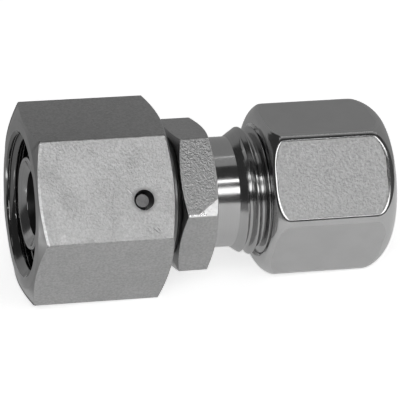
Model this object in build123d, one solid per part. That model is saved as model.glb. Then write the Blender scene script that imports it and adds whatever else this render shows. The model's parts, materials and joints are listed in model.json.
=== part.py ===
"""Reducing compression fitting for metal tube, with a swivel nut at its large end.

The axis lies along X. The origin is the centre of the step that stops the small tube, the tube
leaves towards +X, and the swivel nut is at the -X end. +Z is up, and both nuts lie on a flat.
All sizes are in millimetres, and angles are in degrees.
"""

import os
from math import atan2, cos, degrees, radians, sin, sqrt, tan

from build123d import *

# Tubes and the 24 degree cones that seal them
tube_diameter = 10.0  # the tube that the compression nut holds
port_tube_diameter = 12.0  # the tube size of the port that the swivel nut screws on to
cone_half_angle = 12.0
cone_opening = 1.15  # how far the cone's mouth stands outside the tube, on the radius
stud_wall = 3.0  # from the tube's surface to the crest of the stud's thread
thread_pitch = 1.5
thread_depth_ratio = 0.5413  # depth of a metric thread, as a share of its pitch

# Body
bore_ledge = 1.0  # step that stops the tube, which leaves the bore of the tube itself
socket_depth = 7.0
tube_clearance = 0.05
stud_thread_length = 8.95
stud_end_chamfer = 0.9
neck_cut = 1.1  # neck below the crest of the stud's thread
thread_runout = 1.65  # where the thread runs out on to the neck
neck_length = 3.0
hexagon_width = 5.0
hexagon_land = 0.5  # flats above the larger of the two round ends
hexagon_turn = -8.0  # the body lies turned a little to the nuts
shank_step = 0.35  # shank above the wide end of the nose cone
nose_cone_length = 6.6
nose_rim = 0.3
nose_rim_round = 0.12
countersink_half_angle = 60.0

# Seal on the nose
seal_thickness = 1.5
seal_setback = 2.7  # from the nose's tip to the groove
seal_proud = 0.2
seal_groove_play = 0.2  # on each side of the seal
seal_seat_gap = 0.03

# Swivel nut, and the wire that holds it on the shank
swivel_wall = 2.0  # from the thread's nominal size to the flats
swivel_gap = 1.05  # between the nut and the body's hexagon
nose_inset = 0.85  # the nose's tip behind the nut's face
thread_relief = 2.5
relief_groove = 1.4
mouth_break = 0.1  # the mouth's chamfer starts this far outside the thread
collar_front = 2.35  # metal before the wire
collar_back = 3.3  # metal behind the wire
collar_chamfer = 0.3
wire_diameter = 1.6
wire_clearance = 0.05
wire_bend = 1.3
wire_gap_angle = 24.0
wire_tail_depth = 1.1  # end of the wire below the flat
hole_diameter = 2.5
hole_flat_angle = 30.0  # the flat with the hole faces this far above the horizontal
hole_offset = -1.42  # from the middle of the flat, so that the wire can run in
running_clearance = 0.05

# Cutting ring
ring_entry = 2.3  # the ring's front inside the cone's mouth, made up by hand
ring_standoff = 2.2  # what the nut still closes when it is tightened
ring_collar_lip = 0.6  # collar above the cone's mouth
ring_collar_length = 2.4
ring_tail = 0.3
ring_edge_length = 0.9
ring_edge_recess = 0.3
ring_edge_gap = 1.1
ring_clearance = 0.05

# Compression nut
nut_wall = 1.5
nut_engagement = 7.0
nut_tightening = 2.4
nut_tube_land = 3.0
nut_tube_clearance = 0.15
nut_chamber_gap = 0.25
nut_tube_chamfer = 0.7
nut_mouth_break = 0.3
nut_thread_clearance = 0.06
nut_edge_round = 1.1
nut_rim_round = 0.8  # where the shoulders meet the flats
nut_front_round = 0.4
nut_back_round = 1.2

# Ends of the three hexagons: cones on the swivel nut and the body, arched shoulders on the compression nut
cut_angle = 20.0  # from the face
swivel_face_land = 0.55  # face circle inside the flats, on the radius
body_face_land = 0.7
nut_front_land = 0.75
nut_back_land = 1.4
nut_front_arch = 1.13  # shoulder's length along the axis for each unit that it rises
nut_back_arch = 1.42
nut_shoulder_rise = 0.05  # above the hexagon's corners
shoulder_seam_angle = 15.0  # keeps the seam off the hexagon's corners

# Radii that follow from the sizes above
thread_height = thread_depth_ratio * thread_pitch
cone_slope = tan(radians(cone_half_angle))
tube_radius = tube_diameter / 2
socket_radius = tube_radius + tube_clearance
bore_radius = tube_radius - bore_ledge
mouth_radius = tube_radius + cone_opening
stud_radius = tube_radius + stud_wall
neck_radius = stud_radius - neck_cut
nose_radius = port_tube_diameter / 2 + cone_opening
nose_tip_radius = nose_radius - nose_cone_length * cone_slope
shank_radius = nose_radius + shank_step
swivel_thread_radius = port_tube_diameter / 2 + stud_wall
swivel_crest_radius = swivel_thread_radius - thread_height
wire_radius = wire_diameter / 2
wire_loop_radius = shank_radius + running_clearance / 2

# Distances between opposite flats
swivel_flats = 2 * (swivel_thread_radius + swivel_wall)
body_flats = 2 * (max(stud_radius, shank_radius) + hexagon_land)
nut_flats = 2 * (stud_radius + nut_wall)

# Places along the axis, from the tube's stop
stud_end = socket_depth
thread_start = stud_end - stud_thread_length
neck_end = thread_start - thread_runout
hexagon_right = neck_end - neck_length
hexagon_left = hexagon_right - hexagon_width
swivel_back = hexagon_left - swivel_gap
wire_place = swivel_back - collar_back - wire_radius
collar_face = wire_place - wire_radius - collar_front
nose_shoulder = collar_face - thread_relief
nose_tip = nose_shoulder - nose_cone_length
swivel_face = nose_tip - nose_inset

ring_front = stud_end - ring_entry
ring_collar_face = stud_end + ring_standoff
ring_collar_radius = mouth_radius + ring_collar_lip
ring_collar_end = ring_collar_face + ring_collar_length
ring_back_radius = socket_radius + ring_tail
ring_back = ring_collar_end + ring_collar_radius - ring_back_radius

nut_face = stud_end - nut_engagement
nut_thread_end = stud_end + nut_tightening
nut_chamber_radius = ring_collar_radius + nut_chamber_gap
nut_tube_radius = tube_radius + nut_tube_clearance
# The nut's 45 degree seat lies one clearance off the ring's back
nut_seat_sum = ring_collar_end + ring_collar_radius + ring_clearance * sqrt(2)
nut_seat_start = nut_seat_sum - nut_chamber_radius
nut_seat_end = nut_seat_sum - nut_tube_radius
nut_back = nut_seat_end + nut_tube_land


def turned(*points):
    """Solid turned about X from a closed outline of (place, radius) points."""
    return revolve(make_face(Polyline(*points, close=True)), Axis.X)


def drilled(*points):
    """Hole about X from (place, radius) points, closed on the axis."""
    return turned((points[0][0], 0), *points, (points[-1][0], 0))




def hexagon_bar(flats, start, end, turn=0.0, edge_round=0.0):
    """Hexagonal bar along X with its corners along Y, then turned about X."""
    section = RegularPolygon(flats / 2, 6, major_radius=False, rotation=turn)
    if edge_round:
        section = fillet(section.vertices(), edge_round)
    return extrude(Plane.YZ.offset(start) * section, end - start)


def cut_hexagon(flats, start, end, face_land, turn=0.0):
    """Hexagon whose corners are turned off at both ends."""
    face_radius = flats / 2 - face_land
    outer_radius = flats / sqrt(3) + face_land
    run = (outer_radius - face_radius) * tan(radians(cut_angle))
    envelope = drilled(
        (start, face_radius),
        (start + run, outer_radius),
        (end - run, outer_radius),
        (end, face_radius),
    )
    return hexagon_bar(flats, start, end, turn) & envelope


def arched_envelope(start, end, face_radii, outer_radius, arches, rounds):
    """Round bar whose shoulders arch down to a face circle at each end, with the faces' edges rounded."""
    shoulders = [arch * (outer_radius - radius) for arch, radius in zip(arches, face_radii)]
    outline = make_face(
        [
            Polyline((start, face_radii[0]), (start, 0), (end, 0), (end, face_radii[1])),
            TangentArc((end - shoulders[1], outer_radius), (end, face_radii[1]), tangent=(1, 0)),
            Line((end - shoulders[1], outer_radius), (start + shoulders[0], outer_radius)),
            TangentArc((start + shoulders[0], outer_radius), (start, face_radii[0]), tangent=(-1, 0)),
        ]
    )
    for place, radius, amount in zip((start, end), face_radii, rounds):
        outline = fillet(outline.vertices().sort_by_distance((place, radius))[0], amount)
    return revolve(outline, Axis.X)


def wire_groove():
    """Round ring of space around the wire, half in the shank and half in the nut."""
    return Pos(wire_place, 0, 0) * Rot(0, 90, 0) * Torus(wire_loop_radius, wire_radius + wire_clearance)


def nose_radius_at(place):
    """Radius of the nose cone at a place along the axis."""
    return nose_tip_radius + (place - nose_tip) * cone_slope


def seal_middle():
    """Place and radius of the middle of the seal's section."""
    place = nose_tip + seal_setback + seal_groove_play + seal_thickness / 2
    return place, nose_radius_at(place) + seal_proud - seal_thickness / 2


def fitting_body():
    """Nose with the seal's groove, shank, hexagon, neck and threaded stud, bored right through."""
    outside = drilled(
        (nose_tip, nose_tip_radius - nose_rim_round),
        (nose_tip + nose_rim_round, nose_radius_at(nose_tip + nose_rim_round)),
        (nose_shoulder, nose_radius),
        (nose_shoulder, shank_radius - shank_step / 2),
        (nose_shoulder + shank_step / 2, shank_radius),
        (hexagon_left, shank_radius),
        (hexagon_right, shank_radius),
        (hexagon_right, neck_radius),
        (neck_end, neck_radius),
        (thread_start, stud_radius),
        (stud_end - stud_end_chamfer, stud_radius),
        (stud_end, stud_radius - stud_end_chamfer),
    )
    hexagon = cut_hexagon(body_flats, hexagon_left, hexagon_right, body_face_land, hexagon_turn)

    entry_radius = nose_tip_radius - nose_rim_round - nose_rim
    entry_depth = (entry_radius - bore_radius) / tan(radians(countersink_half_angle))
    bore = drilled(
        (nose_tip, entry_radius),
        (nose_tip + entry_depth, bore_radius),
        (0, bore_radius),
        (0, socket_radius),
        (stud_end - (mouth_radius - socket_radius) / cone_slope, socket_radius),
        (stud_end, mouth_radius),
    )

    place, radius = seal_middle()
    groove_start = place - seal_thickness / 2 - seal_groove_play
    groove_end = place + seal_thickness / 2 + seal_groove_play
    groove_floor = radius - seal_thickness / 2 - seal_seat_gap
    groove = turned(
        (groove_start, groove_floor),
        (groove_end, groove_floor),
        (groove_end, shank_radius),
        (groove_start, shank_radius),
    )
    return outside + hexagon - bore - groove - wire_groove()


def o_ring():
    """Round rubber ring in the nose's groove."""
    place, radius = seal_middle()
    return Pos(place, 0, 0) * Rot(0, 90, 0) * Torus(radius, seal_thickness / 2)


def wire_plane():
    """Plane of the wire's loop: local Y leaves through the middle of the front upper flat."""
    up = radians(hole_flat_angle)
    return Plane(origin=(wire_place, 0, 0), x_dir=(0, sin(up), cos(up)), z_dir=(1, 0, 0))


def swivel_nut():
    """Hexagon nut with a threaded mouth, a collar that runs on the shank and the wire's hole."""
    outside = cut_hexagon(swivel_flats, swivel_face, swivel_back, swivel_face_land)
    rim_radius = swivel_thread_radius + mouth_break
    collar_radius = shank_radius + running_clearance
    relief_start = collar_face - relief_groove
    bore = drilled(
        (swivel_face, rim_radius),
        (swivel_face + rim_radius - swivel_crest_radius, swivel_crest_radius),
        (relief_start - thread_height, swivel_crest_radius),
        (relief_start, swivel_thread_radius),
        (collar_face, swivel_thread_radius),
        (collar_face, collar_radius),
        (swivel_back - collar_chamfer, collar_radius),
        (swivel_back, collar_radius + collar_chamfer),
    )
    hole = extrude(Plane.XZ * Circle(hole_diameter / 2), -swivel_flats)
    return outside - bore - wire_groove() - wire_plane() * Pos(hole_offset, 0, 0) * hole


def retaining_wire():
    """Round wire around the shank, with its tail bent up into the nut's hole."""
    bend_u = hole_offset + wire_bend
    bend_v = sqrt((wire_loop_radius + wire_bend) ** 2 - bend_u**2)
    tail_end = swivel_flats / 2 - wire_tail_depth
    meeting = degrees(atan2(bend_v, bend_u))
    tail = Line((hole_offset, tail_end), (hole_offset, bend_v))
    bend = CenterArc((bend_u, bend_v), wire_bend, 180, meeting)
    loop = CenterArc((0, 0), wire_loop_radius, meeting, wire_gap_angle - 360)
    path = wire_plane() * Wire([tail, bend, loop])
    section = Plane(origin=path @ 0, z_dir=path % 0) * Circle(wire_radius)
    return sweep(section, path)


def ring_taper_radius(place):
    """Radius of the ring's front, one clearance inside the socket's cone."""
    return mouth_radius - (stud_end - place) * cone_slope - ring_clearance


def cutting_ring():
    """Hardened ring with two inner cutting edges, a collar and a 45 degree back."""
    taper_radius = ring_taper_radius(ring_front)
    mouth_side = ring_taper_radius(stud_end)
    first_edge_end = ring_front + ring_edge_length
    second_edge = first_edge_end + ring_edge_gap
    recess_radius = socket_radius + ring_edge_recess
    return turned(
        (ring_front, socket_radius),
        (ring_front, taper_radius),
        (stud_end, mouth_side),
        (ring_collar_face, mouth_side),
        (ring_collar_face, ring_collar_radius),
        (ring_collar_end, ring_collar_radius),
        (ring_back, ring_back_radius),
        (ring_back, socket_radius),
        (second_edge, socket_radius),
        (second_edge, recess_radius),
        (first_edge_end + ring_edge_recess, recess_radius),
        (first_edge_end, socket_radius),
    )


def compression_nut():
    """Cold formed nut with rolled edges, a threaded skirt and a 45 degree seat."""
    flat = nut_flats / 2
    envelope = arched_envelope(
        nut_face,
        nut_back,
        (flat - nut_front_land, flat - nut_back_land),
        nut_flats / sqrt(3) + nut_shoulder_rise,
        (nut_front_arch, nut_back_arch),
        (nut_front_round, nut_back_round),
    )
    bar = hexagon_bar(nut_flats, nut_face, nut_back, edge_round=nut_edge_round)
    outside = bar & Rot(shoulder_seam_angle, 0, 0) * envelope
    rims = outside.edges().filter_by(lambda edge: edge.geom_type not in (GeomType.LINE, GeomType.CIRCLE))
    outside = fillet(rims, nut_rim_round)

    skirt_radius = stud_radius + nut_thread_clearance
    bore = drilled(
        (nut_face, skirt_radius + nut_mouth_break),
        (nut_face + nut_mouth_break, skirt_radius),
        (nut_thread_end, skirt_radius),
        (nut_thread_end, nut_chamber_radius),
        (nut_seat_start, nut_chamber_radius),
        (nut_seat_end, nut_tube_radius),
        (nut_back - nut_tube_chamfer, nut_tube_radius),
        (nut_back, nut_tube_radius + nut_tube_chamfer),
    )
    return outside - bore


def main():
    """Write one STEP file for each piece."""
    os.makedirs("parts", exist_ok=True)
    pieces = {
        "fitting_body": fitting_body(),
        "o_ring": o_ring(),
        "swivel_nut": swivel_nut(),
        "retaining_wire": retaining_wire(),
        "cutting_ring": cutting_ring(),
        "compression_nut": compression_nut(),
    }
    for name, piece in pieces.items():
        export_step(piece, f"parts/{name}.step")


main()
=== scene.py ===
"""Looks, stage and camera of a reducing compression fitting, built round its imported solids.

The axis lies along X, the small tube leaves towards +X and +Z is up. Sizes here are in
millimetres, as in the solids' source, and become metres where a mesh is made.
"""

import json
from math import atan2, cos, floor, pi, radians, sin, sqrt, tan

import bmesh
import bpy
from mathutils import Matrix, Vector

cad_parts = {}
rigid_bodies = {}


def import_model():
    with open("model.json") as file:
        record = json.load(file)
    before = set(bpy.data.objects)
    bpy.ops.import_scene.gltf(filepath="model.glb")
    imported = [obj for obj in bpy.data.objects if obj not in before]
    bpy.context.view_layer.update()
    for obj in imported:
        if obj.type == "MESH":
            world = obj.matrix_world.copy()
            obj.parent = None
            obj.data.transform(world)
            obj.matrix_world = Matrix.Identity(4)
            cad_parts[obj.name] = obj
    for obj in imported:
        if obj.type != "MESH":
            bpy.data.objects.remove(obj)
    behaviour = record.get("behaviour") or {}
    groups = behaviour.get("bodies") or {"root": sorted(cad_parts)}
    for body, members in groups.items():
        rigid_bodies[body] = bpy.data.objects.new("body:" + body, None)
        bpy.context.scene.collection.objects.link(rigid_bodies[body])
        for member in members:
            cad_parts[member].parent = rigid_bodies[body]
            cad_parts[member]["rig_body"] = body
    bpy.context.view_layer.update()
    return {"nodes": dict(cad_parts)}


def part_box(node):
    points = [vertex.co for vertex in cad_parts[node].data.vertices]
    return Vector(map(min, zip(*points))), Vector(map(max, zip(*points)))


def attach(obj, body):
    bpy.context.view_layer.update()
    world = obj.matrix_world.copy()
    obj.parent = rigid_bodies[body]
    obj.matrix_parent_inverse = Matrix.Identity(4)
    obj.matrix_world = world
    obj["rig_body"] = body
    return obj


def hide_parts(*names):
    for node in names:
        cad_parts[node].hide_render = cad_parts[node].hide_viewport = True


bl_info = {
    "name": "Reducing compression fitting",
    "version": (1, 0, 0),
    "blender": (4, 5, 0),
    "location": "View3D > Sidebar > Fitting",
    "description": "Nuts, body, threads, finishes and stage of a tube fitting",
    "category": "Object",
}

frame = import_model()

MM = 0.001
STEPS = 288  # faces round each turned surface
MERGE_DISTANCE = 1.5e-6  # points closer than this, in metres, are one
SHARP_ANGLE = 32  # in degrees, from which an edge is shaded sharp

# Shared by several pieces
PITCH = 1.5
THREAD_HEIGHT = 0.812  # depth of both nuts' threads
CUT_ANGLE = 20  # in degrees from the face, of the cones that turn off a hexagon's corners
SHANK_RADIUS = 7.5
RUNNING_GAP = 0.05  # between the shank and the swivel nut
WIRE_PLACE = -16.75
WIRE_LOOP_RADIUS = 7.525
WIRE_GROOVE_RADIUS = 0.85
HOLE_RADIUS = 1.25  # hole for the wire
HOLE_OFFSET = -1.42  # from the middle of its flat, up the flat
UP_THE_FLAT = Vector((0, sin(radians(30)), cos(radians(30))))  # on the front upper flat, which has the hole

# Material slots of the swivel nut and the body, and of the compression nut
TURNED, FLATS, THREAD, SHANK = range(4)
INNER_THREAD = 1

# Sockets of a Mix node that mixes colours
FIRST_COLOUR, SECOND_COLOUR, MIXED_COLOUR = 6, 7, 2

# Marks on the flat with the hole: place along the axis and up the flat, half sizes, turn in degrees
HOLE_RIM = (WIRE_PLACE, HOLE_OFFSET), (1.42, 1.42), 0.0
SCRATCH = (-18.52, -0.27), (0.46, 0.07), -46.8
NICKS = ((-15.6, -5.2), (0.42, 0.06), -44.0), ((-15.22, -5.1), (0.34, 0.05), -49.4)
BURR = (-17.42, -2.25), (0.2, 0.3), 45.0
RUBBED_PATCH = (-27.2, -5.6), (0.35, 0.6), -30.0

# In metres, from the fitting's axis
LAMP_DISTANCE = 0.40
CLOTH_DISTANCE = 0.42

# The photo's width in pixels, how many of them a millimetre takes, and how far the aim lies off its middle
PHOTO_WIDTH = 400
PIXELS_PER_MM = 7.9915
AIM_RIGHT, AIM_UP = 22.89, 8.55

# Where the form of a metric thread turns, from crest to crest: share of the pitch, share of the depth
THREAD_FORM = (
    (0.0, 0.0), (0.045, 0.0), (0.07, 0.025), (0.1, 0.12), (0.17, 0.35), (0.24, 0.58), (0.31, 0.81),
    (0.35, 0.93), (0.39, 0.985), (0.44, 1.0), (0.5, 1.0), (0.56, 1.0), (0.61, 0.985), (0.65, 0.93),
    (0.69, 0.81), (0.76, 0.58), (0.83, 0.35), (0.9, 0.12), (0.93, 0.025), (0.955, 0.0),
)


class SwivelNutSizes(bpy.types.PropertyGroup):
    flats: bpy.props.FloatProperty(
        name="Flats", description="Distance between opposite flats, in millimetres", default=22.0)
    edge_break: bpy.props.FloatProperty(
        name="Edge break", description="Width of the broken edges, in millimetres", default=0.12)
    thread_radius: bpy.props.FloatProperty(
        name="Thread radius", description="Nominal radius of the mouth's thread", default=9.0)
    thread_turn: bpy.props.FloatProperty(
        name="Thread turn", description="Place of a thread groove at the top, in millimetres", default=-27.6)


class BodySizes(bpy.types.PropertyGroup):
    flats: bpy.props.FloatProperty(
        name="Flats", description="Distance between opposite flats, in millimetres", default=17.0)
    turn: bpy.props.FloatProperty(
        name="Turn", description="How far the body lies turned to the nuts, in degrees", default=-8.0)
    edge_break: bpy.props.FloatProperty(
        name="Edge break", description="Width of the broken edges, in millimetres", default=0.06)
    thread_radius: bpy.props.FloatProperty(
        name="Thread radius", description="Crest of the stud's thread, in millimetres", default=8.0)
    thread_depth: bpy.props.FloatProperty(
        name="Thread depth", description="Depth of the stud's thread, in millimetres", default=0.9)
    thread_turn: bpy.props.FloatProperty(
        name="Thread turn", description="Place of a crest at the top, in millimetres", default=-1.804)


class CompressionNutSizes(bpy.types.PropertyGroup):
    flats: bpy.props.FloatProperty(
        name="Flats", description="Distance between opposite flats, in millimetres", default=19.0)
    edge_round: bpy.props.FloatProperty(
        name="Edge round", description="Radius of the edges between the flats", default=1.2)
    rim_round: bpy.props.FloatProperty(
        name="Rim round", description="Reach of the round between flats and shoulders", default=0.8)
    thread_clearance: bpy.props.FloatProperty(
        name="Thread clearance", description="Gap to the stud's thread on the radius", default=0.06)


class Finishes(bpy.types.PropertyGroup):
    steel: bpy.props.FloatVectorProperty(
        name="Steel", description="Turned surfaces of both nuts and the body", subtype="COLOR",
        default=(0.52, 0.52, 0.52))
    flats: bpy.props.FloatVectorProperty(
        name="Flats", description="Satin flats of both nuts and the body", subtype="COLOR",
        default=(0.43, 0.43, 0.43))
    # Steel painted darker as shade, for the shank in its narrow gap, the swivel nut's thread in its mouth and
    # the wire down its hole
    shade_darkened: bpy.props.FloatVectorProperty(
        name="Shade darkened", description="Greyer steel of the shank", subtype="COLOR", default=(0.22, 0.22, 0.22))
    dark_steel: bpy.props.FloatVectorProperty(
        name="Dark steel", description="Drawn and hardened steel of the wire and the ring", subtype="COLOR",
        default=(0.38, 0.38, 0.37))
    rubber: bpy.props.FloatVectorProperty(
        name="Rubber", description="Seal ring", subtype="COLOR", default=(0.025, 0.025, 0.026))


class StageSizes(bpy.types.PropertyGroup):
    azimuth: bpy.props.FloatProperty(
        name="Azimuth", description="Way the camera looks from, in degrees", default=-15.913)
    elevation: bpy.props.FloatProperty(
        name="Elevation", description="Height of the camera above the horizon, in degrees", default=24.0)
    roll: bpy.props.FloatProperty(
        name="Roll", description="Turn of the camera about its own axis, in degrees", default=3.048)
    distance: bpy.props.FloatProperty(
        name="Distance", description="From the camera to the fitting", unit="LENGTH", default=0.4545)
    floor: bpy.props.FloatVectorProperty(
        name="Floor", description="Colour of the floor", subtype="COLOR", default=(0.85, 0.85, 0.85))


class Signal:
    """Output of a shader node. Sums on signals and numbers add the Math nodes that work them out."""

    def __init__(self, tree, socket):
        self.tree = tree
        self.socket = socket

    def node(self, kind, settings=None, values=None, output=0):
        """Another node in the same tree: its settings first, then the values or signals of its sockets."""
        made = self.tree.nodes.new(kind)
        for name, value in (settings or {}).items():
            setattr(made, name, value)
        for name, value in (values or {}).items():
            if isinstance(value, Signal):
                self.tree.links.new(value.socket, made.inputs[name])
            else:
                made.inputs[name].default_value = value
        return Signal(self.tree, made.outputs[output])

    def axis(self, name):
        """One coordinate of a place."""
        return self.node("ShaderNodeSeparateXYZ", {}, {0: self}, name)

    def along(self, direction):
        """How far a place lies along a direction."""
        return self.node(
            "ShaderNodeVectorMath", {"operation": "DOT_PRODUCT"}, {0: self, 1: direction}, "Value")

    def math(self, operation, first, second):
        return self.node("ShaderNodeMath", {"operation": operation}, {0: first, 1: second})

    def __add__(self, other):
        return self.math("ADD", self, other)

    def __radd__(self, other):
        return self.math("ADD", other, self)

    def __sub__(self, other):
        return self.math("SUBTRACT", self, other)

    def __rsub__(self, other):
        return self.math("SUBTRACT", other, self)

    def __mul__(self, other):
        return self.math("MULTIPLY", self, other)

    def __truediv__(self, other):
        return self.math("DIVIDE", self, other)


def start_material(name):
    """A new material, a signal of the piece's own coordinates in millimetres, and its shader."""
    material = bpy.data.materials.new(name)
    material.use_nodes = True
    tree = material.node_tree
    shader = tree.nodes["Principled BSDF"]
    own = tree.nodes.new("ShaderNodeTexCoord")
    place = Signal(tree, own.outputs["Object"])
    place = place.node("ShaderNodeVectorMath", {"operation": "SCALE"}, {0: place, "Scale": 1 / MM})
    return material, place, shader


def link(signal, shader, socket):
    signal.tree.links.new(signal.socket, shader.inputs[socket])


def noise(place, scale, detail=2.0, roughness=0.5):
    return place.node(
        "ShaderNodeTexNoise", {}, {"Vector": place, "Scale": scale, "Detail": detail, "Roughness": roughness})


def stretched(place, factors):
    return place.node("ShaderNodeVectorMath", {"operation": "MULTIPLY"}, {0: place, 1: factors})


def between(signal, low, high, to_low=0.0, to_high=1.0):
    """Signal stepped smoothly from one range to another."""
    return signal.node(
        "ShaderNodeMapRange", {"interpolation_type": "SMOOTHSTEP"},
        {"Value": signal, "From Min": low, "From Max": high, "To Min": to_low, "To Max": to_high})


def turned_place(place):
    """Coordinates that stay the same round the axis: place along it, and distance from it."""
    across = stretched(place, (0.0, 1.0, 1.0))
    radius = across.node("ShaderNodeVectorMath", {"operation": "LENGTH"}, {0: across}, output="Value")
    return place.node("ShaderNodeCombineXYZ", {}, {"X": place.axis("X"), "Y": radius})


def as_grey(signal):
    return signal.node("ShaderNodeCombineColor", {}, {"Red": signal, "Green": signal, "Blue": signal})


def tinted(colour, tone):
    """A colour made darker or lighter by a tone signal."""
    return tone.node(
        "ShaderNodeMix", {"data_type": "RGBA", "blend_type": "MULTIPLY"},
        {"Factor": 1.0, FIRST_COLOUR: (*colour, 1.0), SECOND_COLOUR: as_grey(tone)}, output=MIXED_COLOUR)


def shade(material_parts, colour, tone, roughness, height, depth):
    """Give a metal its toned colour, its roughness and its bump, whose depth is in millimetres."""
    material, place, shader = material_parts
    shader.inputs["Metallic"].default_value = 1.0
    link(tinted(colour, tone), shader, "Base Color")
    link(roughness, shader, "Roughness")
    bump = place.node("ShaderNodeBump", {}, {"Strength": 1.0, "Distance": depth * MM, "Height": height})
    link(bump, shader, "Normal")
    return material


def sand(place, rough, brightest=1.12, patches=0.05):
    """Fine and coarse grain of a sandy satin, with the tone and the roughness that they give."""
    fine = noise(place, 3.6, 3.0, 0.6)
    coarse = noise(place, 0.35)
    tone = between(fine, 0.3, 0.7, 0.88, brightest) * between(coarse, 0.3, 0.7, 1 - patches, 1 + patches)
    roughness = between(coarse, 0.3, 0.7, rough - 0.03, rough + 0.03)
    return fine, coarse, tone, roughness


def drawn_finish(name, colour, rough, depth):
    """Sandy satin of drawn wire."""
    parts = start_material(name)
    fine, coarse, tone, roughness = sand(parts[1], rough)
    return shade(parts, colour, tone, roughness, fine * between(coarse, 0.35, 0.7, 0.6, 1.3), depth)


def mark(place, middle, half, turned_by):
    """1 inside a soft oval on the flat with the hole, in millimetres and degrees."""
    along, up = place.axis("X") - middle[0], place.along(UP_THE_FLAT) - middle[1]
    c, s = cos(radians(turned_by)), sin(radians(turned_by))
    first = (along * c + up * s) / half[0]
    second = (up * c - along * s) / half[1]
    return between(first * first + second * second, 1.6, 0.4)


def body_flat_finish(name, colour, flats, outward, rough=0.38, depth=0.08):
    """Sandy satin of the body's flats. The flat that is square to outward has a filed corner, smoother and
    painted bright as a highlight.
    """
    parts = start_material(name)
    place = parts[1]
    along, up, facing = place.axis("X"), place.along((0, outward.z, -outward.y)), place.along(outward)
    line_along, line_up = -9.52, -4.68  # a point of the line up to which the corner is filed
    slant_along, slant_up = 0.582, 0.813  # square to that line
    corner = between((along - line_along) * slant_along - (up - line_up) * slant_up, -0.03, 0.05)
    edge = between(up, -4.64, -4.76)
    # the filed corner is smoother, and its colour is painted brighter as a highlight
    filed_with_highlight = (corner + edge - corner * edge) * between(facing, flats / 2 - 0.16, flats / 2 - 0.1)
    fine, _, tone, roughness = sand(place, rough)
    height = fine * (1.0 - filed_with_highlight * 0.8)
    return shade(parts, colour, tone * (1.0 + filed_with_highlight * 1.25), roughness - filed_with_highlight * 0.1, height, depth)


def nut_flat_finish(name, colour, flats, face, face_radius, rough=0.38, depth=0.07):
    """Satin of the swivel nut's flats, with what the years left on the flat that has the wire's hole, and a
    painted highlight along that flat's edge by the face.
    """
    parts = start_material(name)
    place = parts[1]
    facing = place.along(flat_normals()[1])
    on_flat = between(facing, flats / 2 - 3.5, flats / 2 - 3.2)
    rim, scratch, burr, rubbed = (
        mark(place, *spot) * on_flat for spot in (HOLE_RIM, SCRATCH, BURR, RUBBED_PATCH))
    nicks = (mark(place, *NICKS[0]) + mark(place, *NICKS[1])) * on_flat
    radius = turned_place(place).axis("Y")
    inside = place.axis("X") - face - (radius - face_radius) * tan(radians(CUT_ANGLE))
    # A painted highlight along the flat's edge by the face, brighter towards the lower end
    share = between(place.along(UP_THE_FLAT), 3.0, -5.0, 0.1, 0.75)  # brighter towards the lower end
    painted_edge_highlight = between(inside, 0.26, 0.14) * share * between(facing, flats / 2 - 0.1, flats / 2 - 0.03)
    fine, coarse, tone, roughness = sand(place, rough, 1.15, 0.04)
    wear = 1.0 - rim * (0.35 + fine * 0.5) + scratch * 0.7 - nicks * 0.35 + burr * 1.1 + rubbed * 0.16
    height = fine * between(coarse, 0.35, 0.7, 0.7, 1.3) - rim * 0.4 + scratch * 0.3 - nicks * 0.3
    return shade(parts, colour, tone * (wear + painted_edge_highlight), roughness - scratch * 0.12, height, depth)


def formed_finish(name, colour, flats, depth=0.075):
    """Cold formed skin: bright shoulders and rolled edges, five satin flats and a scuffed, sandy one, which
    is also painted darker as shade.
    """
    parts = start_material(name)
    place = parts[1]
    side = place.node("ShaderNodeVectorMath", {"operation": "ABSOLUTE"}, {0: place})
    slanted, upright = side.along((0, cos(pi / 6), 0.5)), side.axis("Z")
    edge, inner = flats / 2 - 0.006, flats / 2 - 0.001
    flat = between(slanted.math("MAXIMUM", slanted, upright), edge, inner)
    scuffed_and_shaded = between(place.along(flat_normals()[1]), edge, inner)
    fine = noise(place, 3.2, 3.0, 0.6)
    coarse = noise(place, 0.35)
    # the scuffed front flat has a sandy grain, and its colour is also painted darker as shade
    tone = (1.0 - flat * 0.06 - scuffed_and_shaded * (0.13 - (fine - 0.5) * 0.8)) * between(coarse, 0.3, 0.7, 0.97, 1.03)
    roughness = between(coarse, 0.3, 0.7, 0.13, 0.17) + flat * 0.18 + scuffed_and_shaded * 0.06
    return shade(parts, colour, tone, roughness, fine * (0.01 + flat * 0.09 + scuffed_and_shaded * 0.9), depth)


def turned_finish(name, colour, rough, depth=0.002):
    """Fine rings left by the lathe."""
    parts = start_material(name)
    place = parts[1]
    rings = noise(turned_place(place), 9.0, 3.0, 0.6)
    patches = noise(place, 0.5)
    tone = between(rings, 0.3, 0.7, 0.92, 1.0)
    roughness = between(patches, 0.3, 0.7, rough - 0.03, rough + 0.04)
    return shade(parts, colour, tone, roughness, rings, depth)


def rubber_finish(name, colour):
    """Matt black rubber with a fine bloom."""
    material, place, shader = start_material(name)
    bloom = noise(place, 2.0, 4.0)
    link(tinted(colour, between(bloom, 0.3, 0.7, 0.8, 1.3)), shader, "Base Color")
    link(between(bloom, 0.3, 0.7, 0.45, 0.6), shader, "Roughness")
    return material


def turn(bm, corners):
    """Turn a wire of (place, radius, round) corners about X. Corners with a round are bevelled first."""
    verts = [bm.verts.new((x * MM, 0.0, r * MM)) for x, r, _ in corners]
    for pair in zip(verts, verts[1:]):
        bm.edges.new(pair)
    for vert, (_, _, amount) in zip(verts, corners):
        if amount:
            bmesh.ops.bevel(
                bm, geom=[vert], offset=amount * MM, offset_type="OFFSET", segments=5, profile=0.5,
                affect="VERTICES", material=-1)
    bmesh.ops.spin(
        bm, geom=bm.verts[:] + bm.edges[:], axis=(1, 0, 0), cent=(0, 0, 0), angle=2 * pi,
        steps=STEPS, use_merge=True)


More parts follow.
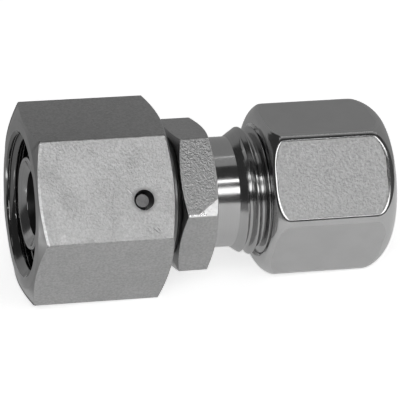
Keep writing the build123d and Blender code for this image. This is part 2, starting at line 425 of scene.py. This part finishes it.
def flat_normals(rotation=0.0):
    """Directions square to the six flats, the first of them straight up."""
    return [
        Vector((0.0, cos(radians(90 + 60 * k + rotation)), sin(radians(90 + 60 * k + rotation))))
        for k in range(6)
    ]


def cut_corners(flats, face_land):
    """Face radius, outer radius and length of the cones that turn off a hexagon's corners."""
    face_radius = flats / 2 - face_land
    corner = flats / sqrt(3) + face_land
    return face_radius, corner, (corner - face_radius) * tan(radians(CUT_ANGLE))


def mill_flats(bm, flats, normals):
    """Cut the six flats and close each one with one face."""
    for normal in normals:
        cut = bmesh.ops.bisect_plane(
            bm, geom=bm.verts[:] + bm.edges[:] + bm.faces[:], dist=1e-8,
            plane_co=normal * flats / 2 * MM, plane_no=normal, clear_outer=True)
        edges = [e for e in cut["geom_cut"] if isinstance(e, bmesh.types.BMEdge)]
        for face in bmesh.ops.edgeloop_fill(bm, edges=edges)["faces"]:
            face.material_index = FLATS


def break_edges(bm, flats, normals, width):
    """Bevel every edge of the flats, and leave nothing outside them."""
    edges = {edge for face in bm.faces if face.material_index == FLATS for edge in face.edges}
    bmesh.ops.bevel(
        bm, geom=list(edges), offset=width * MM, offset_type="OFFSET", segments=3, profile=0.5,
        affect="EDGES", material=-1, clamp_overlap=True, loop_slide=True)
    for vert in bm.verts:
        for normal in normals:
            vert.co -= normal * max(0.0, vert.co.dot(normal) - flats / 2 * MM)


def shoulder(face, face_radius, crest, run, rings=24):
    """Corners of an arched shoulder, from its level crest down to the face."""
    rise = crest - face_radius
    arch = (run * run + rise * rise) / (2 * rise)
    sweep = atan2(abs(run), arch - rise)
    return [
        (face - run + arch * sin(sweep * k / rings) * (1 if run > 0 else -1),
         crest - arch + arch * cos(sweep * k / rings), 0)
        for k in range(rings + 1)
    ]


def press_flats(bm, flats, edge_round, rim_round, outside):
    """Press six flats into a turned blank, rounded between one another and softly at the shoulders.

    The points for which outside is true are drawn towards the six corners, where the surface turns most."""
    half_side, draw = radians(30), 2.2  # a power over 1 draws the points together at the corners
    centre = (flats / 2 - edge_round) / cos(half_side)
    for vert in bm.verts:
        blank = Vector((0, vert.co.y, vert.co.z)).length / MM
        angle = atan2(vert.co.y, vert.co.z)
        side = angle % (2 * half_side) - half_side
        if outside(vert.co.x / MM, blank):
            drawn = half_side * (abs(side) / half_side) ** draw * (1 if side > 0 else -1)
            angle += drawn - side
            side = drawn
            vert.co.y, vert.co.z = blank * sin(angle) * MM, blank * cos(angle) * MM
        off_corner = abs(side)
        pressed = flats / 2 / cos(half_side - off_corner)
        if flats / 2 * tan(half_side - off_corner) > centre * sin(half_side):
            pressed = centre * cos(off_corner) + sqrt(edge_round**2 - (centre * sin(off_corner)) ** 2)
        reach = rim_round * (0.2 + 0.8 * off_corner / half_side)
        share = max(0.0, 1 - abs(blank - pressed) / reach)
        radius = min(blank, pressed) - share * share * reach / 4
        vert.co.y *= radius / blank
        vert.co.z *= radius / blank


def cut_thread(start, end, crest, depth, top_crest, limit, outer, fade=None):
    """Thread between two places, as its own mesh that meets the turned rings at both ends.

    limit gives the radius that the turned ends leave at a place. The groove that lies at the first
    place of fade has no depth yet, and it is cut in full from the second place on."""
    bm = bmesh.new()
    first = floor((start - top_crest) / PITCH) - 1
    last = floor((end - top_crest) / PITCH) + 2
    places = [
        (top_crest + (turn_number + share) * PITCH, crest - depth * deep)
        for turn_number in range(first, last)
        for share, deep in THREAD_FORM
    ]
    verts = [bm.verts.new((x * MM, 0.0, r * MM)) for x, r in places]
    for pair in zip(verts, verts[1:]):
        bm.edges.new(pair)
    bmesh.ops.spin(
        bm, geom=bm.verts[:] + bm.edges[:], axis=(1, 0, 0), cent=(0, 0, 0), angle=2 * pi, steps=STEPS,
        dvec=(PITCH / STEPS * MM, 0, 0))
    for vert in bm.verts:
        x, radius = vert.co.x / MM, Vector((0, vert.co.y, vert.co.z)).length / MM
        angle = atan2(-vert.co.y, vert.co.z) % (2 * pi)
        if fade:
            share = ((x - top_crest) / PITCH - angle / (2 * pi)) % 1.0
            groove = x - (share - 0.5) * PITCH
            amount = min(1.0, max(0.0, (groove - fade[0]) / (fade[1] - fade[0])))
            radius = crest - (crest - radius) * amount * amount * (3 - 2 * amount)
        inside = min(end, max(start, x))
        if inside != x:
            radius = limit(inside)
        radius = min(radius, limit(inside)) if outer else max(radius, limit(inside))
        vert.co = (inside * MM, -radius * sin(angle) * MM, radius * cos(angle) * MM)
    bmesh.ops.remove_doubles(bm, verts=bm.verts, dist=MERGE_DISTANCE)
    bmesh.ops.dissolve_degenerate(bm, edges=bm.edges, dist=1e-7)
    return bm


def add_mesh(bm, other, slot):
    """Take over the faces of another mesh and give them a material slot."""
    for face in other.faces:
        face.material_index = slot
    mesh = bpy.data.meshes.new("part")
    other.to_mesh(mesh)
    other.free()
    bm.from_mesh(mesh)
    bpy.data.meshes.remove(mesh)


def finish_piece(bm, name, node, materials):
    """Close the mesh, make it an object that stands for its node and give it its materials."""
    bmesh.ops.remove_doubles(bm, verts=bm.verts, dist=MERGE_DISTANCE)
    bmesh.ops.recalc_face_normals(bm, faces=bm.faces)
    for face in bm.faces:
        face.smooth = True
    mesh = bpy.data.meshes.new(name)
    bm.to_mesh(mesh)
    bm.free()
    mesh.set_sharp_from_angle(angle=radians(SHARP_ANGLE))
    for material in materials:
        mesh.materials.append(material)
    piece = bpy.data.objects.new(name, mesh)
    bpy.context.scene.collection.objects.link(piece)
    weighted = piece.modifiers.new("Flat shading of the flats", "WEIGHTED_NORMAL")
    weighted.keep_sharp = True
    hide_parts(node)
    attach(piece, frame["nodes"][node]["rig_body"])
    return piece


def wire_groove(outer):
    """Corners of the wire's half-round groove, outer in the body or else in the nut, from its -X side."""
    edge = SHANK_RADIUS if outer else SHANK_RADIUS + RUNNING_GAP
    side = sqrt(WIRE_GROOVE_RADIUS**2 - (edge - WIRE_LOOP_RADIUS) ** 2)
    first = atan2(edge - WIRE_LOOP_RADIUS, -side) % (2 * pi)
    last = atan2(edge - WIRE_LOOP_RADIUS, side)
    if outer:
        last += 2 * pi
    return [
        (WIRE_PLACE + WIRE_GROOVE_RADIUS * cos(a), WIRE_LOOP_RADIUS + WIRE_GROOVE_RADIUS * sin(a), 0)
        for a in (first + (last - first) * k / 10 for k in range(11))
    ]


def drill(piece, origin, direction, radius, reach):
    """Drill a round hole from origin along direction."""
    bm = bmesh.new()
    bmesh.ops.create_cone(
        bm, cap_ends=True, segments=48, radius1=radius * MM, radius2=radius * MM, depth=reach * MM)
    turned = direction.to_track_quat("Z", "Y").to_matrix().to_4x4()
    middle = Matrix.Translation((origin + direction * reach / 2) * MM)
    bmesh.ops.transform(bm, matrix=middle @ turned, verts=bm.verts)
    mesh = bpy.data.meshes.new("drill")
    bm.to_mesh(mesh)
    bm.free()
    tool = bpy.data.objects.new("drill", mesh)
    bpy.context.scene.collection.objects.link(tool)
    hole = piece.modifiers.new("Hole", "BOOLEAN")
    hole.operation, hole.solver, hole.object = "DIFFERENCE", "EXACT", tool
    piece.modifiers.move(len(piece.modifiers) - 1, 0)
    with bpy.context.temp_override(object=piece, active_object=piece):
        bpy.ops.object.modifier_apply(modifier=hole.name)
    bpy.data.objects.remove(tool)
    bpy.data.meshes.remove(mesh)


class FITTING_OT_swivel_nut(bpy.types.Operator):
    """Swivel nut with its threaded mouth and the wire's hole"""

    bl_idname = "fitting.swivel_nut"
    bl_label = "Swivel nut"

    def execute(self, context):
        sizes, finishes = context.scene.fitting_swivel_nut, context.scene.fitting_finishes
        low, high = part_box("swivel_nut")
        face, back = low.x / MM, high.x / MM
        face_radius, corner, run = cut_corners(sizes.flats, 0.55)
        root, relief, collar_face = sizes.thread_radius, -21.3, -19.9
        rim, crest = root + 0.1, root - THREAD_HEIGHT
        collar, chamfer = SHANK_RADIUS + RUNNING_GAP, 0.3

        bm = bmesh.new()
        turn(bm, [
            (relief, root, 0), (collar_face, root, 0.1), (collar_face, collar, 0.05),
            *wire_groove(False),
            (back - chamfer, collar, 0), (back, collar + chamfer, 0),
            (back, face_radius, 0.08), (back - run, corner, 0),
            (face + run, corner, 0), (face, face_radius, 0.12), (face, rim, 0),
        ])
        mill_flats(bm, sizes.flats, flat_normals())
        break_edges(bm, sizes.flats, flat_normals(), sizes.edge_break)
        add_mesh(bm, cut_thread(
            face, relief, root, THREAD_HEIGHT, sizes.thread_turn,
            lambda x: max(rim - (x - face), min(root, root - (relief - 0.05 - x)), crest), False), THREAD)
        steel = finishes.steel
        piece = finish_piece(bm, "swivel_nut_looks", "swivel_nut", [
            turned_finish("turned nut face", steel, 0.34),
            nut_flat_finish("sandy nut flats", finishes.flats, sizes.flats, face, face_radius),
            # the thread inside the mouth takes the steel painted darker as shade
            turned_finish("nut thread", finishes.shade_darkened * 1.3, 0.14)])
        outward, inner_end, reach = flat_normals()[1], 6.0, 8.0
        origin = Vector((WIRE_PLACE, 0, 0)) + HOLE_OFFSET * UP_THE_FLAT + inner_end * outward
        drill(piece, origin, outward, HOLE_RADIUS, reach)
        return {"FINISHED"}


class FITTING_OT_body(bpy.types.Operator):
    """Body with its nose, shank, hexagon, neck and threaded stud"""

    bl_idname = "fitting.body"
    bl_label = "Body"

    def execute(self, context):
        sizes, finishes = context.scene.fitting_body, context.scene.fitting_finishes
        low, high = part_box("fitting_body")
        tip, end = low.x / MM, high.x / MM
        slope = tan(radians(12))
        left, right, neck, neck_end = -11.6, -6.6, 6.9, -3.6
        bore, socket, mouth = 4.0, 5.05, 6.15
        mouth_depth, crest, chamfer = 1.1 / slope, sizes.thread_radius, 0.9
        nose_length, nose_end, nose_end_radius = 6.6, -22.4, 7.15
        shank_start, shank_start_radius = -22.225, 7.325
        face_radius, corner, run = cut_corners(sizes.flats, 0.7)
        nose = nose_end_radius - nose_length * slope
        entry, rim = nose - 0.42, 0.12
        half_seal, half_groove = 0.75, 0.95
        seal = tip + 2.7 + 0.2 + half_seal
        groove_floor = nose + (seal - tip) * slope + 0.2 - half_seal - half_seal - 0.03
        groove_start, groove_end = seal - half_groove, seal + half_groove
        runout_rise, runout_length = 1.1, 1.65

        bm = bmesh.new()
        turn(bm, [
            (end, crest - chamfer, 0), (end, mouth, 0.05), (end - mouth_depth, socket, 0), (0, socket, 0),
            (0, bore, 0.05), (tip + (entry - bore) / tan(radians(60)), bore, 0.05), (tip, entry, 0.05),
            (tip, nose - rim, 0.05), (tip + rim, nose + rim * slope, 0.05),
            (groove_start, nose + (groove_start - tip) * slope, 0.05), (groove_start, groove_floor, 0.1),
            (groove_end, groove_floor, 0.1), (groove_end, nose + (groove_end - tip) * slope, 0.05),
            (nose_end, nose_end_radius, 0), (nose_end, shank_start_radius, 0),
            (shank_start, SHANK_RADIUS, 0), *wire_groove(True), (left, SHANK_RADIUS, 0.15),
            (left, face_radius, 0.06), (left + run, corner, 0),
            (right - run, corner, 0), (right, face_radius, 0.06), (right, neck, 0.25), (neck_end, neck, 0),
        ])
        mill_flats(bm, sizes.flats, flat_normals(sizes.turn))
        break_edges(bm, sizes.flats, flat_normals(sizes.turn), sizes.edge_break)
        add_mesh(bm, cut_thread(
            neck_end, end, crest, sizes.thread_depth, sizes.thread_turn,
            lambda x: min(
                crest, neck + (x - neck_end) * runout_rise / runout_length, crest - chamfer + (end - x)),
            True, fade=(-2.8, -2.2)), THREAD)
        # the shank, in its narrow gap between the swivel nut and the hexagon, is painted darker as shade
        shade_darkened_start = nose_end - 0.1
        for face in bm.faces:
            if face.material_index == TURNED and shade_darkened_start < face.calc_center_median().x / MM < left:
                face.material_index = SHANK
        steel, flat, shade_darkened = finishes.steel, finishes.flats, finishes.shade_darkened
        finish_piece(bm, "fitting_body_looks", "fitting_body", [
            turned_finish("turned body", steel, 0.15, 0.0008),
            body_flat_finish("body flats", flat, sizes.flats, flat_normals(sizes.turn)[1]),
            # the stud's thread is painted darker than the turned steel, as shade in its grooves
            turned_finish("stud thread", steel * 0.84, 0.18, 0.0008),
            turned_finish("oiled shank", shade_darkened, 0.34, 0.001)])
        return {"FINISHED"}


class FITTING_OT_compression_nut(bpy.types.Operator):
    """Compression nut with rolled edges and its inner thread"""

    bl_idname = "fitting.compression_nut"
    bl_label = "Compression nut"

    def execute(self, context):
        scene = context.scene
        sizes, finishes, body = scene.fitting_compression_nut, scene.fitting_finishes, scene.fitting_body
        low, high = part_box("compression_nut")
        face, back = low.x / MM, high.x / MM
        front_radius, back_radius = sizes.flats / 2 - 0.75, sizes.flats / 2 - 1.4
        crest = sizes.flats / sqrt(3) + 0.05
        front_shoulder = shoulder(face, front_radius, crest, -2.565)
        back_shoulder = shoulder(back, back_radius, crest, 4.146)
        skirt = body.thread_radius + sizes.thread_clearance
        chamber, hole, relief, step = 7.0, 5.15, 8.0, 9.4
        seat_end = back - 3.0
        seat_start = seat_end - (chamber - hole)
        mouth, chamfer = skirt + 0.3, 0.7
        back_edge = back_radius - 0.25  # an extra ring, which softens the glints on the flat back
        inner_back = back - 0.85  # from here on the points round the tube's hole are drawn too

        bm = bmesh.new()
        turn(bm, [
            (relief, skirt, 0), (step, skirt, 0.1), (step, chamber, 0.1), (seat_start, chamber, 0),
            (seat_end, hole, 0.1), (back - chamfer, hole, 0.1), (back, hole + chamfer, 0.1),
            (back, back_edge, 0), *reversed(back_shoulder), *front_shoulder, (face, mouth, 0),
        ])
        press_flats(
            bm, sizes.flats, sizes.edge_round, sizes.rim_round,
            lambda x, radius: radius > (front_radius if x < step else back_radius) - 0.01 or x > inner_back)
        add_mesh(bm, cut_thread(
            face, relief, skirt, THREAD_HEIGHT, body.thread_turn,
            lambda x: max(mouth - (x - face), skirt - (relief - 0.05 - x), skirt - THREAD_HEIGHT),
            False), INNER_THREAD)
        steel = finishes.steel
        finish_piece(bm, "compression_nut_looks", "compression_nut", [
            formed_finish("formed nut skin", steel, sizes.flats),
            turned_finish("nut inner thread", steel, 0.25)])
        return {"FINISHED"}


class FITTING_OT_small_parts(bpy.types.Operator):
    """Finishes of the cutting ring, the retaining wire and the seal, whose solids are shown"""

    bl_idname = "fitting.small_parts"
    bl_label = "Ring, wire and seal"

    def execute(self, context):
        finishes = context.scene.fitting_finishes
        for node, material in (
            ("cutting_ring", turned_finish("hardened ring", finishes.dark_steel, 0.3)),
            # the wire, seen only down its hole, takes the steel painted darker as shade
            ("retaining_wire", drawn_finish("drawn wire", finishes.shade_darkened * 0.8, 0.45, 0.02)),
            ("o_ring", rubber_finish("seal rubber", finishes.rubber)),
        ):
            shown = frame["nodes"][node]
            shown.data.materials.clear()
            shown.data.materials.append(material)
        return {"FINISHED"}


def add_stage_mesh(bm, name, material):
    mesh = bpy.data.meshes.new(name)
    bm.to_mesh(mesh)
    bm.free()
    mesh.materials.append(material)
    made = bpy.data.objects.new(name, mesh)
    bpy.context.scene.collection.objects.link(made)
    return made


def background_rays(tree, seen, mirrored):
    """Strength of the background for the camera, and by way of metal or glass."""
    path = tree.nodes.new("ShaderNodeLightPath")
    camera, glossy, through = (
        Signal(tree, path.outputs[name])
        for name in ("Is Camera Ray", "Is Glossy Ray", "Is Transmission Ray"))
    return camera * seen + (glossy + through) * mirrored


def card(name, material, bm):
    """A card or cloth out of the camera's view, which only shows in the metal."""
    made = add_stage_mesh(bm, name, material)
    made.visible_camera = made.visible_diffuse = made.visible_shadow = False
    return made


def card_mesh(middle, size, facing):
    """Flat card around a middle, square to the way it faces."""
    bm = bmesh.new()
    bmesh.ops.create_grid(bm, x_segments=1, y_segments=1, size=0.5)
    bmesh.ops.scale(bm, vec=(*size, 1), verts=bm.verts)
    turned = Vector(facing).to_track_quat("Z", "Y").to_matrix().to_4x4()
    bmesh.ops.transform(bm, matrix=Matrix.Translation(middle) @ turned, verts=bm.verts)
    return bm


def even_glow(name, grey):
    material = bpy.data.materials.new(name)
    material.use_nodes = True
    shader = material.node_tree.nodes["Principled BSDF"]
    shader.inputs["Base Color"].default_value = (0, 0, 0, 1)
    shader.inputs["Specular IOR Level"].default_value = 0.0
    shader.inputs["Emission Color"].default_value = (grey, grey, grey, 1)
    shader.inputs["Emission Strength"].default_value = 1.0
    return material


def lamp(name, angle, x, size, radiance):
    """Soft box at an angle round the axis, from the front horizon upwards, that faces the fitting."""
    data = bpy.data.lights.new(name, "AREA")
    data.shape = "RECTANGLE"
    data.size, data.size_y = size
    data.energy = radiance * pi * size[0] * size[1]
    made = bpy.data.objects.new(name, data)
    made.location = (x, -cos(radians(angle)) * LAMP_DISTANCE, sin(radians(angle)) * LAMP_DISTANCE)
    facing = (Vector((x, 0, 0)) - made.location).to_track_quat("-Z", "Y")
    made.rotation_mode = "QUATERNION"
    made.rotation_quaternion = facing
    made.visible_camera = False
    bpy.context.scene.collection.objects.link(made)
    return made


class FITTING_OT_stage(bpy.types.Operator):
    """Floor, soft boxes, cards and the camera"""

    bl_idname = "fitting.stage"
    bl_label = "Stage"

    def execute(self, context):
        scene, sizes = context.scene, context.scene.fitting_stage

        # Floor, which touches the swivel nut's back edge and the compression nut's back edge
        near, far = Vector((-12.85, 0, -11.0)), Vector((14.9, 0, -9.5))
        tilt = Matrix.Rotation(-atan2(far.z - near.z, far.x - near.x), 4, "Y")
        bm = bmesh.new()
        bmesh.ops.create_grid(bm, x_segments=1, y_segments=1, size=4.0)
        bmesh.ops.transform(bm, matrix=Matrix.Translation(near * MM) @ tilt, verts=bm.verts)
        material = bpy.data.materials.new("pale floor")
        material.use_nodes = True
        tree = material.node_tree
        shader = tree.nodes["Principled BSDF"]
        shader.inputs["Base Color"].default_value = (*sizes.floor, 1)
        shader.inputs["Roughness"].default_value = 0.9
        shader.inputs["Specular IOR Level"].default_value = 0.0
        shader.inputs["Emission Strength"].default_value = 1.0
        link(as_grey(background_rays(tree, 0.66, 0.3)), shader, "Emission Color")
        add_stage_mesh(bm, "floor", material)

        # World
        world = bpy.data.worlds.new("studio")
        scene.world = world
        world.use_nodes = True
        tree = world.node_tree
        background = tree.nodes["Background"]
        background.inputs["Color"].default_value = (1, 1, 1, 1)
        rays = background_rays(tree, 0.75, 0.75)
        tree.links.new((0.25 + rays).socket, background.inputs["Strength"])

        # Soft boxes
        lamp("lower strip", 25.6, 0.10, (0.60, 0.088), 2.6)
        lamp("upper strip", 45.7, 0.10, (0.60, 0.037), 3.2)
        lamp("left fill", 36.0, -0.19, (0.24, 0.10), 2.4)
        lamp("overhead", 93.0, 0.10, (0.60, 0.20), 0.33)

        # Dark cloth behind the soft boxes, from the front horizon to overhead
        bm = bmesh.new()
        start = radians(-7)
        ends = [
            bm.verts.new((x, -CLOTH_DISTANCE * cos(start), CLOTH_DISTANCE * sin(start))) for x in (-0.5, 0.7)]
        edge = bm.edges.new(ends)
        bmesh.ops.spin(
            bm, geom=[*ends, edge], axis=(1, 0, 0), cent=(0, 0, 0), angle=radians(-107), steps=48)
        card("dark cloth", even_glow("dark cloth", 0.05), bm)

        # Cards behind the fitting, on its left and right, and on the floor beside and behind it
        for name, glow, middle, size, facing in (
            ("low back card", 0.31, (0.0825, 0.028, 0.013), (0.235, 0.050), (0, -1, 0)),
            ("high back card", 0.31, (0.097, 0.028, 0.093), (0.206, 0.110), (0, -1, 0)),
            ("dark back card", 0.05, (-0.083, 0.0282, 0.144), (0.154, 0.212), (0, -1, 0)),
            ("left card", 0.05, (-0.16, -0.02, 0.17), (0.38, 0.40), (1, 0.1, 0)),
            ("left back card", 0.40, (-0.13, 0.27, 0.12), (0.36, 0.40), (0.3, -1, 0)),
            ("right card", 0.09, (0.16, -0.02, 0.04), (0.30, 0.14), (-1, 0, 0)),
            ("near floor card", 0.30, (-0.133, -0.04, -0.0118), (0.204, 0.124), (0, 0, 1)),
            ("far floor card", 0.26, (-0.133, 0.112, -0.0118), (0.204, 0.18), (0, 0, 1)),
            ("right floor card", 0.13, (0.085, 0.112, -0.0054), (0.15, 0.20), (-0.054, 0, 1)),
            ("glint card", 2.4, (-0.0535, 0.0025, -0.0108), (0.007, 0.011), (0, 0, 1)),
        ):
            card(name, even_glow(name, glow), card_mesh(middle, size, facing))

        # Camera
        a, e, r = (radians(v) for v in (sizes.azimuth, sizes.elevation, sizes.roll))
        back = Vector((sin(a) * cos(e), -cos(a) * cos(e), sin(e)))
        right = Vector((cos(a), sin(a), 0))
        up = back.cross(right)
        right, up = cos(r) * right + sin(r) * up, cos(r) * up - sin(r) * right
        target = Vector((-4.0, 0, 0)) * MM
        place = target + back * sizes.distance
        wide = PHOTO_WIDTH / PIXELS_PER_MM * MM
        aim = target - right * (AIM_RIGHT / PHOTO_WIDTH * wide) - up * (AIM_UP / PHOTO_WIDTH * wide)
        back = (place - aim).normalized()
        right = (right - right.dot(back) * back).normalized()
        up = back.cross(right)
        camera = bpy.data.cameras.new("camera")
        sensor = 36
        camera.sensor_width = sensor
        camera.lens = sensor * sizes.distance / wide
        camera.clip_start, camera.clip_end = 0.01, 20
        seen = bpy.data.objects.new("camera", camera)
        seen.matrix_world = Matrix((
            (right.x, up.x, back.x, place.x), (right.y, up.y, back.y, place.y),
            (right.z, up.z, back.z, place.z), (0, 0, 0, 1)))
        scene.collection.objects.link(seen)
        scene.camera = seen
        scene.view_settings.view_transform = "Standard"
        return {"FINISHED"}


class FITTING_PT_panel(bpy.types.Panel):
    """Pieces and stage of the fitting"""

    bl_idname = "FITTING_PT_panel"
    bl_label = "Compression fitting"
    bl_space_type = "VIEW_3D"
    bl_region_type = "UI"
    bl_category = "Fitting"

    def draw(self, context):
        for operator in OPERATORS:
            self.layout.operator(operator.bl_idname)
        for group in GROUPS:
            settings = getattr(context.scene, group)
            for name in settings.bl_rna.properties.keys():
                if name not in ("rna_type", "name"):
                    self.layout.prop(settings, name)


OPERATORS = (
    FITTING_OT_swivel_nut,
    FITTING_OT_body,
    FITTING_OT_compression_nut,
    FITTING_OT_small_parts,
    FITTING_OT_stage,
)
GROUPS = {
    "fitting_swivel_nut": SwivelNutSizes,
    "fitting_body": BodySizes,
    "fitting_compression_nut": CompressionNutSizes,
    "fitting_finishes": Finishes,
    "fitting_stage": StageSizes,
}


def register():
    for kind in (*GROUPS.values(), *OPERATORS, FITTING_PT_panel):
        bpy.utils.register_class(kind)
    for name, group in GROUPS.items():
        setattr(bpy.types.Scene, name, bpy.props.PointerProperty(type=group))


def unregister():
    for name in GROUPS:
        delattr(bpy.types.Scene, name)
    for kind in (FITTING_PT_panel, *OPERATORS, *GROUPS.values()):
        bpy.utils.unregister_class(kind)


def main():
    register()
    bpy.ops.fitting.swivel_nut()
    bpy.ops.fitting.body()
    bpy.ops.fitting.compression_nut()
    bpy.ops.fitting.small_parts()
    bpy.ops.fitting.stage()


if __name__ == "__main__":
    main()
